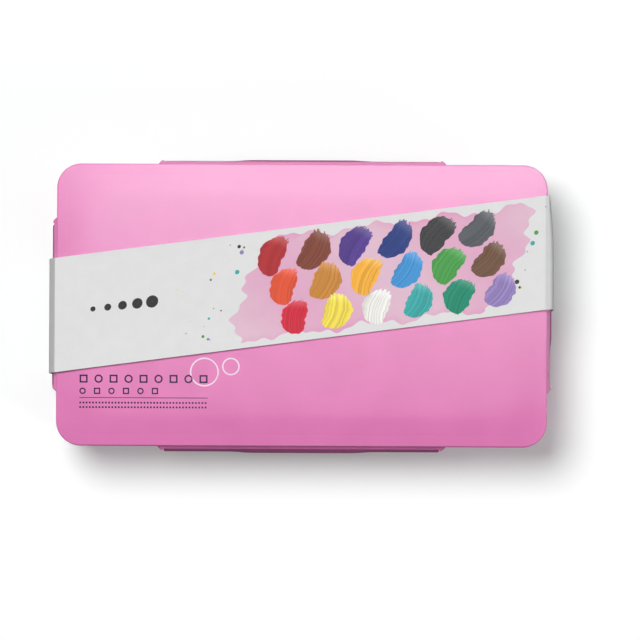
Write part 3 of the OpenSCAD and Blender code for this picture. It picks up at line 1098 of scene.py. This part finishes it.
@dataclass
class Print:
    """Printed decoration: generic brush dabs on the band, and rings, squares and lines on the lid."""

    band: Band
    lid: Lid
    hairs: int = 22
    rise: float = 0.04

    def on_band(self, x: Array, across: Array, layer: int) -> Array:
        """Points on the band's face; across runs from -1 to 1 over its width."""
        y = self.band.shift + self.band.slope * x + across * self.band.half
        z = self.band.top + self.band.gap + self.band.card + self.band.loose(x, across)
        return np.stack([x, y, z + self.rise * (1 + layer * 0.1)], -1)

    def stroke(self, dab: Dab, layer: int, rng: np.random.Generator) -> Surface:
        """A dab as hair tracks side by side, each with its own ends and its own depth of colour.

        Track k runs along u from -1 to 1 and is drawn in at both ends by an ellipse and a
        random dry length; the whole dab bows by 0.12 of its length.
        """
        def per_track(low: float, high: float) -> Array:
            """A random value for each track, at both of its edges."""
            return np.repeat(rng.uniform(low, high, self.hairs), 2)

        u = np.linspace(-1, 1, 25)[:, None]
        v = np.linspace(-1, 1, self.hairs + 1)
        dry, wet = per_track(0, 0.16), per_track(0, 0.05)
        edge = np.stack([v[:-1], v[1:]], 1).ravel()
        shape = np.sqrt(np.clip(1 - np.abs(edge) ** 3.0, 0.12, 1))
        start, stop = -shape * (1 - wet), shape * (1 - dry)
        along = start + (stop - start) * (u + 1) / 2
        wobble = 1 + 0.05 * np.sin(along * 7 + layer) + 0.04 * np.sin(along * 17 - layer * 2)
        bow = 0.12 * dab.length * (along ** 2 - 0.4) * (1 if layer % 2 else -1)
        local_x, local_y = along * dab.length / 2, edge * dab.width / 2 * wobble + bow
        place = rotated(local_x, local_y, dab.turn)
        points = self.on_band(dab.x + place[..., 0], dab.across + place[..., 1] / self.band.half, layer)
        tone = per_track(0.78, 1.18)[None, :, None]
        fade = 1 + 0.25 * smooth_step((along - 0.35) / 0.65)[..., None]
        pale = 0.10 * smooth_step((along - 0.4) / 0.6)[..., None]
        tint = np.clip(np.array(linear(*dab.colour)) * tone * fade * (1 - pale) + pale, 0, 1)
        tint[..., 3] = 1
        tracks = [slice(k, k + 2) for k in range(0, 2 * self.hairs, 2)]
        return Surface.joined([patch(points[:, k], tint[:, k]) for k in tracks])

    def dabs(self) -> list[Dab]:
        """Three staggered slanting rows of six dabs, in colours that paints commonly have."""
        colours = ((178, 42, 48), (128, 66, 50), (84, 58, 142), (40, 62, 130), (58, 58, 60), (86, 90, 96),
                   (226, 84, 52), (206, 138, 58), (246, 176, 60), (66, 150, 214), (74, 160, 76),
                   (112, 82, 62), (214, 40, 62), (246, 222, 84), (240, 238, 232), (60, 172, 170),
                   (24, 140, 110), (150, 130, 190))
        dabs = []
        for k, colour in enumerate(colours):
            row, i = divmod(k, 6)
            dabs.append(Dab(-18 + 25.5 * i + 7 * row, 0.56 - 0.56 * row, 26 - 2 * row, 15.5 + (5 * k) % 3,
                            66 - 5 * i + 7 * row, colour))
        return dabs

    def wash(self) -> Surface:
        """Soft pink wash under the dabs: a slanting pool with a wavering outline."""
        u, v = np.linspace(0, 1, 121)[:, None], np.linspace(-1, 1, 41)
        waver = 0.05 * np.sin(u * 21) + 0.03 * np.sin(u * 47 + 1) + 0.02 * np.sin(u * 95 + 2)
        ragged = 2.5 * np.sin(v * 9) + 1.5 * np.sin(v * 23 + 1) - 9 * v ** 4
        x = -36 + 12 * v + 172 * u - (1 - 2 * u) * ragged
        across = np.clip(v * (0.86 + waver), -0.985, 0.985)
        pool = 0.5 + 0.5 * np.sin(u * 9 + v * 2)
        rim = smooth_step((np.abs(v) - 0.86) / 0.14)
        strength = np.clip(0.6 + 0.25 * pool + 0.15 * rim, 0, 1)[..., None]
        white, pink = np.array(linear(229, 229, 229)), np.array(linear(228, 160, 196))
        return patch(self.on_band(x, across, -2), white * (1 - strength) + pink * strength)

    def disc(self, x: float, across: float, radius: float, colour: tuple) -> Surface:
        """A plain printed dot on the band."""
        spot = arc(radius, 0, 360, 33) * np.array([0.02, 1.0])[:, None, None]
        return patch(self.on_band(x + spot[..., 0], across + spot[..., 1] / self.band.half, 0), colour)

    def splashes(self, rng: np.random.Generator) -> list[Surface]:
        """Small drops beside the wash, in the dabs' colours, thinning out away from it."""
        colours = ((58, 58, 60), (60, 172, 170), (240, 214, 70), (74, 160, 76), (150, 130, 190),
                   (92, 96, 102))
        drops = []
        for k in range(26):
            left = k < 18
            away = rng.exponential(9.0) if left else rng.uniform(0, 4)
            x = (-44 - away) if left else (139 + away)
            across = rng.uniform(-0.85, 0.85)
            size = rng.uniform(0.35, 1.5) * (1 - min(away, 30) / 45)
            drops.append(self.disc(x + 12 * across, across, size, linear(*colours[k % 6])))
        return drops

    def ribbon(self, path: Array, width: float, colour: tuple) -> Surface:
        """A printed line of a width on the lid's crown, along a path of (x, y) points."""
        across = leftwards(np.gradient(path, axis=0)) * width / 2
        flat = np.stack([path + across, path - across], 1)
        return patch(at_height(flat, self.lid.height(flat) + self.rise), colour)

    def line(self, a: tuple[float, float], b: tuple[float, float], width: float, colour: tuple) -> Surface:
        """A straight printed line on the lid."""
        start, end = np.array(a), np.array(b)
        t = np.linspace(0, 1, max(2, int(np.linalg.norm(end - start) / 2) + 2))[:, None]
        return self.ribbon(start + (end - start) * t, width, colour)

    def ring(self, x: float, y: float, radius: float, width: float, colour: tuple) -> Surface:
        """A printed ring on the lid, of an outer radius."""
        return self.ribbon(arc(radius - width / 2, 0, 360, 49) + [x, y], width, colour)

    def square(self, x: float, y: float, size: float, width: float, colour: tuple) -> Surface:
        """A printed square outline on the lid, about its middle."""
        h, w = (size - width) / 2, size / 2
        ends = [((-w, -h), (w, -h)), ((-w, h), (w, h)), ((-h, -h), (-h, h)), ((h, -h), (h, h))]
        return Surface.joined([self.line((x + a[0], y + a[1]), (x + b[0], y + b[1]), width, colour)
                               for a, b in ends])

    def marks(self) -> list[Surface]:
        """Lid print: two circles, two rows of rings and squares, a rule and two dotted lines."""
        navy, white = linear(52, 34, 74), linear(250, 226, 242)
        left, right = -138.2, -58.4
        parts = [self.ring(-60.5, -42.0, 9.0, 0.9, white), self.ring(-44.0, -38.5, 5.5, 0.9, white)]
        rows = ((np.linspace(left + 2.6, right - 2.6, 9), -46.4, 2.6, 5.0, 0.95, 1),
                (left + 2.0 + np.arange(6) * 9.0, -54.0, 2.0, 3.9, 0.8, 0))
        for xs, y, radius, size, width, odd in rows:
            parts += [self.ring(x, y, radius, width, navy) if k % 2 == odd
                      else self.square(x, y, size, width, navy) for k, x in enumerate(xs)]
        parts.append(self.line((left, -58.2), (right, -58.2), 0.42, navy))
        for y in (-61.3, -64.1):
            parts += [self.line((x, y), (x + 1.1, y), 1.1, navy) for x in np.arange(left, right - 1, 2.0)]
        return parts

    def build(self, ink: Material) -> None:
        """Makes the band's print and the lid's print."""
        rng = np.random.default_rng(7)
        parts = [self.wash(), *(self.stroke(dab, layer, rng) for layer, dab in enumerate(self.dabs())),
                 *self.splashes(rng)]
        parts += [self.disc(-130 + 9.2 * k, 0.02, 1.6 + 0.55 * k, linear(46, 46, 48)) for k in range(5)]
        make_piece("band_print", Surface.joined(parts), ink, "band_top", solid=False)
        make_piece("lid_print", Surface.joined(self.marks()), ink, "lid", solid=False)


# ---- Studio ----


@dataclass(frozen=True)
class Lamp:
    """Soft lamp in metres and watts: a sheen box only shows in glossy surfaces, others only light."""

    name: str
    place: tuple[float, float, float]
    target: tuple[float, float, float]
    size: tuple[float, float]
    power: float
    sheen: bool = True

    def build(self) -> None:
        """Hangs the lamp at its place, facing its target."""
        data = bpy.data.lights.new(self.name, "AREA")
        data.shape = "RECTANGLE" if self.sheen else "ELLIPSE"
        data.size, data.size_y = self.size
        data.energy = self.power
        data.cycles.use_multiple_importance_sampling = not self.sheen
        lamp = new_object(self.name, data)
        lamp.location = self.place
        lamp.rotation_mode = "QUATERNION"
        lamp.rotation_quaternion = (Vector(self.place) - Vector(self.target)).to_track_quat("Z", "Y")
        lamp.visible_glossy = self.sheen
        lamp.visible_diffuse = not self.sheen
        lamp.visible_camera = False


@dataclass
class Studio:
    """White floor, soft lamps and a long-lens camera almost straight above the case, in metres."""

    distance: float = 5.0
    frame_width: float = 0.3982
    aim: tuple[float, float, float] = (0.0113, -0.0093, 0.047)
    tilt: float = 2.0
    roll: float = 0.255
    floor_half: float = 4.0
    lamps: tuple[Lamp, ...] = (
        Lamp("key", (-2.54, 2.54, 7.0), (0, 0, 0.03), (5.0, 5.0), 585.0, False),
        Lamp("fill", (1.9, -1.1, 0.65), (0, 0, 0.03), (0.8, 0.8), 12.0, False),
        Lamp("top_sheen", (0.105, 0.2635, 0.42), (0.105, 0.2635, 0), (0.63, 0.473), 8.5),
        Lamp("back_sheen", (0.0, 0.9, 0.11), (0, 0, 0.11), (1.4, 0.2), 7.0),
        Lamp("left_sheen", (-0.9, 0.0, 0.11), (0, 0, 0.11), (1.0, 0.2), 2.0),
        Lamp("right_sheen", (0.9, 0.0, 0.11), (0, 0, 0.11), (1.0, 0.2), 5.0))

    def camera(self) -> None:
        """Makes the camera: it looks at the aim from a little in front of the zenith."""
        data = bpy.data.cameras.new("camera")
        data.sensor_width = 36.0
        data.lens = 36.0 * self.distance / self.frame_width
        data.clip_end = 20
        camera = new_object("camera", data)
        turn = (Matrix.Rotation(math.radians(self.tilt), 4, "X")
                @ Matrix.Rotation(math.radians(self.roll), 4, "Z"))
        camera.matrix_world = Matrix.Translation(self.aim) @ turn @ Matrix.Translation((0, 0, self.distance))
        bpy.context.scene.camera = camera

    def floor(self) -> None:
        """Makes the floor: white to the camera, and dark to the light that would bounce off it."""
        material, w = new_material("studio_floor")
        seen = w.rays("Camera", "Transmission")
        matt = w.add("BsdfDiffuse", {"Color": w.mix(seen, (0.1, 0.1, 0.1, 1), (0.845, 0.865, 0.855, 1))})
        lift = w.add("Emission", {"Color": (1, 1, 1, 1), "Strength": w.maths("MULTIPLY", seen, 0.215)})
        both = w.add("AddShader", {0: matt.outputs[0], 1: lift.outputs[0]})
        w.add("OutputMaterial", {"Surface": both.outputs[0]})
        corners = np.array([[[-1, -1, 0], [1, -1, 0]], [[-1, 1, 0], [1, 1, 0]]]) * self.floor_half / MM
        new_object("floor", new_mesh("floor", patch(corners), material))

    def world(self) -> None:
        """Makes the world: white to the camera and in gloss, and dim to the light, but for a panel.

        The panel lies low on the right, where the direction's X is above 0.5 and its Z below 0.5.
        """
        world = bpy.data.worlds.new("studio")
        world.use_nodes = True
        bpy.context.scene.world = world
        w = Wiring(world.node_tree)
        seen = w.rays("Camera", "Glossy", "Transmission")
        way = w.add("SeparateXYZ", {"Vector": w.add("TexCoord").outputs["Generated"]}).outputs
        panel = w.maths("MULTIPLY", w.ramp(way["X"], 0.5, 0.85), w.ramp(way["Z"], 0.35, 0.5, 1.0, 0.0))
        fill = w.maths("ADD", w.maths("MULTIPLY", panel, 0.3), 0.09)
        level = w.add("MapRange", {"Value": seen, "To Min": fill, "To Max": 1.0}).outputs[0]
        sky = w.add("Background", {"Color": (1, 1, 1, 1), "Strength": level})
        w.add("OutputWorld", {"Surface": sky.outputs[0]})

    def build(self) -> None:
        """Makes the camera, the lamps, the floor and the world."""
        self.camera()
        for lamp in self.lamps:
            lamp.build()
        self.floor()
        self.world()


def main() -> None:
    """Builds every sub-assembly in order."""
    logging.basicConfig(level=logging.INFO, format="%(name)s: %(message)s")
    bpy.context.scene.view_settings.view_transform = "Standard"
    Studio().build()
    skin, fibre, white = moulded_skin(), paper_fibre(), linear(228, 228, 228)
    pink = MouldedPlastic("pink_plastic_satin", linear(221, 118, 179), 0.40, skin, marks=0.4).material()
    card = Card("band_card_white", white, 0.75, fibre).material()
    ink = Card("printed_ink", white, 0.75, fibre, tinted=True).material()
    clear = MouldedPlastic("cup_plastic_milky", linear(238, 238, 242), 0.25, skin, grain=0.3,
                           marks=0.4).material()
    film = SealFilm("peel_off_film_milky", linear(244, 244, 246), 0.3).material()
    rubber = Rubber("gasket_silicone", linear(236, 232, 234), 0.55).material()
    case, grid = Case.from_frame(), CupGrid()
    lid, band = Lid(case), Band(case)
    lid.build(pink)
    Gasket(case).build(rubber)
    lips = {Side.FRONT: 3.1, Side.BACK: 3.1, Side.LEFT: 3.3, Side.RIGHT: 2.55}
    for side in Side:
        Latch(case, side, lips[side]).build(pink)
    Base(case, grid).build(pink)
    PaintCups(grid).build(clear, film)
    band.build(card)
    Print(band, lid).build(ink)


if __name__ == "__main__":
    main()
